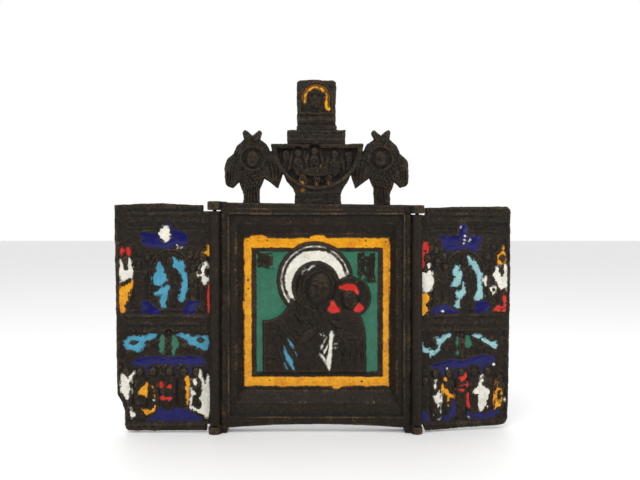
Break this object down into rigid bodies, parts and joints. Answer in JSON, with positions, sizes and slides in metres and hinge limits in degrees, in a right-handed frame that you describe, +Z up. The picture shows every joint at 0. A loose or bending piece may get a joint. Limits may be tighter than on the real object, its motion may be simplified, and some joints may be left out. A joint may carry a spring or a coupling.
{
  "type": "folding triptych icon",
  "caption": "Small folding triptych in dark cast bronze and enamel: a deep centre leaf with a figured crest, and two hinged wings with relief panels.",
  "frame": {"origin": "middle of the bounding box at the ground, with the left wing flat and the right wing swung back nine degrees", "axes": "+X to the viewer's right, +Y towards the back (the front faces -Y), +Z up"},
  "size_m": [0.1024, 0.0082, 0.0905],
  "materials": {
    "bronze": "cast copper alloy, dark brown patina, brassy where rubbed, fine sand-cast grain",
    "pin_wire": "drawn wire, dull brown",
    "enamel_yellow": "opaque fused enamel, glossy, pitted",
    "enamel_green": "opaque fused enamel, glossy, speckled",
    "enamel_white": "opaque fused enamel, glossy, specked with dark pits",
    "enamel_red": "opaque fused enamel, glossy, worn thin at its edges",
    "enamel_dark_blue": "opaque fused enamel, glossy, deep blue",
    "enamel_light_blue": "opaque fused enamel, glossy, pooled"
  },
  "bodies": {
    "leaf": {"centre_leaf": "bronze", "left_hinge_pin": "pin_wire", "right_hinge_pin": "pin_wire"},
    "left": {"left_wing": "bronze"},
    "right": {"right_wing": "bronze"}
  },
  "joints": [
    {"name": "left_wing_hinge", "type": "hinge", "parent": "leaf", "child": "left", "pos_m": [-0.02543, -0.00216, 0], "axis": [0, 0, 1], "range_deg": [-45, 180]},
    {"name": "right_wing_hinge", "type": "hinge", "parent": "leaf", "child": "right", "pos_m": [0.02607, -0.00216, 0], "axis": [0, 0, -1], "range_deg": [-36, 189]}
  ]
}
